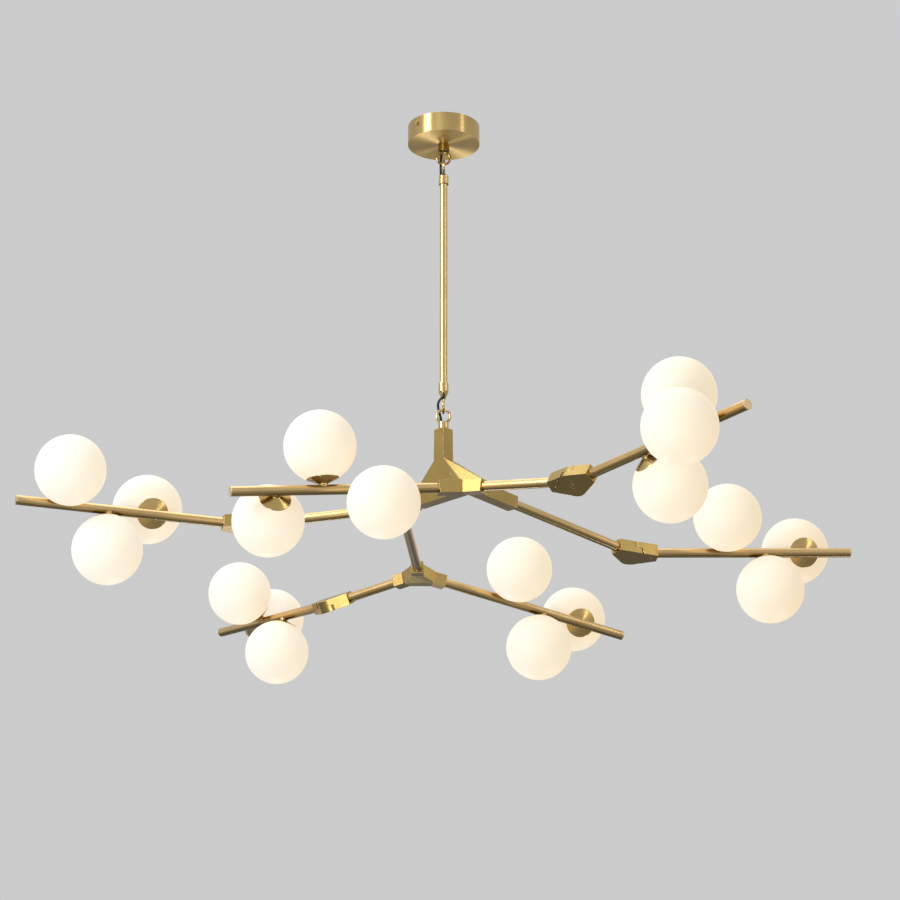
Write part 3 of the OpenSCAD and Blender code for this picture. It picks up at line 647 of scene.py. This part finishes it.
def globe_section():
    """Outside of the glass from its foot to its top, and the inside back to the foot."""
    section = []
    for radius, steps in ((GLOBE_RADIUS, range(GLOBE_RINGS)),
                          (GLOBE_INSIDE, reversed(range(GLOBE_RINGS)))):
        foot = math.asin(HOLE_RADIUS / radius)
        for step in steps:
            angle = foot + (math.pi - foot) * step / (GLOBE_RINGS - 1)
            out = radius * math.sin(angle) if step < GLOBE_RINGS - 1 else 0.0
            section.append((out, GLOBE_HEIGHT - radius * math.cos(angle)))
    return section


def saddle(radius, angle):
    """Height at which a cup's neck meets its tube."""
    return math.sqrt(SADDLE_RADIUS ** 2 - (radius * math.sin(angle)) ** 2)


def add_turned(mesh, section, sides, stand, necks=()):
    """Turns a closed section about the Z axis of its stand. The necks are radii of further
    rings that sit on the tube. Each point keeps its own place and its way round."""
    own_place = mesh.verts.layers.float_vector["own_place"]
    own_round = mesh.verts.layers.float_vector["own_round"]
    turn = stand.to_3x3()
    rings = []
    for radius, height in [(r, None) for r in necks] + list(section):
        ring = []
        for k in range(sides if radius else 1):
            angle = 2.0 * math.pi * k / sides
            level = saddle(radius, angle) if height is None else height
            point = Vector((radius * math.cos(angle), radius * math.sin(angle), level))
            vertex = mesh.verts.new(stand @ point)
            vertex[own_place] = point
            vertex[own_round] = turn @ Vector((-math.sin(angle), math.cos(angle), 0.0))
            ring.append(vertex)
        rings.append(ring)
    for near, far in zip(rings, rings[1:] + rings[:1]):
        for k in range(sides):
            corners = (near[k % len(near)], near[(k + 1) % len(near)],
                       far[(k + 1) % len(far)], far[k % len(far)])
            # At the tip of a globe the ring is one point, and the face a triangle
            corners = list(dict.fromkeys(corners))
            if len(corners) > 2:
                mesh.faces.new(corners)


def turned_piece(name, node, body, branches, section, sides, material, necks=()):
    """One piece with a turned form on each stand of the given branches."""
    mesh = bmesh.new()
    mesh.verts.layers.float_vector.new("own_place")
    mesh.verts.layers.float_vector.new("own_round")
    for branch in branches:
        for stand in stands(branch):
            add_turned(mesh, section, sides, stand, necks)
    piece = finished(name, mesh)
    piece.data.materials.append(material)
    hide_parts(node)
    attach(piece, body)


opal = opal_glass("opal_glass")
spun = turned_brass("spun_brass_cups", lean=0.5, roughness=0.2, base=BRASS_BRIGHT,
                    many=True)
glass = globe_section()
for ending, (body, branches) in BRANCHES.items():
    turned_piece("glass_globes_" + ending, "globes_" + ending, body, branches,
                 glass, GLOBE_SIDES, opal)
    turned_piece("spun_cups_" + ending, "cups_" + ending, body, branches,
                 CUP_SECTION, CUP_SIDES, spun, (NIPPLE_HOLE, NECK_RADIUS))


# ---- studio ----

FLOOR_Z = -3.0
FLOOR_HALF = 14.0
FLOOR_CUTS = 7
FLOOR_DARK = tone(0.70, 0.70, 0.69)
FLOOR_PALE = tone(0.76, 0.76, 0.75)
# The surroundings as they are seen and mirrored, and the dimmer tone that they light with
AIR_SEEN = tone(0.60, 0.60, 0.606)
AIR_LIGHT = tone(0.42, 0.42, 0.43)


def studio_floor():
    """A pale floor far below, which lets a view from underneath through."""
    mesh = bmesh.new()
    corners = [mesh.verts.new((x * FLOOR_HALF, y * FLOOR_HALF, FLOOR_Z)) for x, y in
               ((-1, -1), (1, -1), (1, 1), (-1, 1))]
    mesh.faces.new(corners)
    bmesh.ops.subdivide_edges(mesh, edges=mesh.edges, cuts=FLOOR_CUTS, use_grid_fill=True)
    floor = finished("studio_floor", mesh)
    if floor.data.polygons[0].normal.z < 0.0:
        floor.data.flip_normals()
    finish = Finish("floor_paint")
    cloud = finish.noise(finish.place(), scale=0.6, detail=3.0)
    finish.surface(Base_Color=finish.mix(cloud, FLOOR_DARK, FLOOR_PALE), Roughness=0.7)
    under = finish.node("NewGeometry", {}, {}, "Backfacing")
    clear = finish.node("BsdfTransparent", {}, {})
    painted = Wire(finish, finish.shader.outputs[0])
    both = finish.node("MixShader", {}, {0: under, 1: painted, 2: clear})
    finish.feed(finish.tree.nodes["Material Output"].inputs["Surface"], both)
    floor.data.materials.append(finish.material)


def studio_air():
    """Plain pale surroundings that show paler than they light."""
    world = bpy.data.worlds.new("studio_air")
    bpy.context.scene.world = world
    world.use_nodes = True
    air = Nodes(world.node_tree)
    seen = air.node("LightPath", {}, {}, "Is Camera Ray")
    for kind in ("Is Glossy Ray", "Is Transmission Ray"):
        seen = seen.maths("MAXIMUM", seen, air.node("LightPath", {}, {}, kind))
    light = air.node("Background", {}, {"Color": AIR_LIGHT, "Strength": 1.0})
    shown = air.node("Background", {}, {"Color": AIR_SEEN, "Strength": 1.0})
    both = air.node("MixShader", {}, {0: seen, 1: light, 2: shown})
    air.feed(air.tree.nodes["World Output"].inputs["Surface"], both)


# The point that the lamps look at
MIDDLE = Vector((0.0, 0.15, -0.45))
WHITE = (1.0, 1.0, 1.0)
WARM_WHITE = (1.0, 0.96, 0.9)
# For each lamp: the way to it from the middle, its distance, width, height, watts, colour
LAMPS = {
    "key_left": ((-0.714, -0.60, 0.33), 3.6, 0.9, 2.2, 80.0, WHITE),
    "fill_right": ((0.80, -0.50, 0.33), 3.8, 0.25, 2.0, 10.0, WARM_WHITE),
    "top": ((-0.1, 0.1, 1.0), 2.6, 3.0, 3.0, 40.0, WHITE),
    "knuckle_glint": ((-0.24, -0.83, -0.50), 3.2, 0.7, 0.7, 30.0, WHITE),
    "canopy_left": ((-0.176, 0.771, -0.612), 2.6, 0.35, 0.35, 7.0, WHITE),
    "canopy_right": ((0.50, 0.55, -0.67), 2.6, 0.35, 0.35, 7.0, WHITE),
}


def soft_box(name, towards, distance, width, height, power, colour):
    """A rectangular lamp that looks at the middle of the object."""
    light = bpy.data.lights.new(name, "AREA")
    light.shape = "RECTANGLE"
    light.size, light.size_y = width, height
    light.energy = power
    light.color = colour
    lamp = bpy.data.objects.new(name, light)
    way = Vector(towards).normalized()
    lamp.location = MIDDLE + way * distance
    lamp.rotation_euler = way.to_track_quat("Z", "Y").to_euler()
    lamp.visible_camera = False
    bpy.context.scene.collection.objects.link(lamp)


studio_floor()
studio_air()
for name, lamp in LAMPS.items():
    soft_box(name, *lamp)


# ---- camera ----

CAMERA_PLACE = (0.011, -4.447, -2.147)
# Degrees that the camera looks up from level
CAMERA_TILT = 19.2

camera_data = bpy.data.cameras.new("camera")
camera_data.lens = 112.0
camera_data.sensor_width = 36.0
camera_data.clip_end = 60.0
camera = bpy.data.objects.new("camera", camera_data)
camera.location = CAMERA_PLACE
camera.rotation_euler = (math.radians(90.0 + CAMERA_TILT), 0.0, 0.0)
bpy.context.scene.collection.objects.link(camera)
bpy.context.scene.camera = camera
bpy.context.scene.view_settings.view_transform = "Standard"
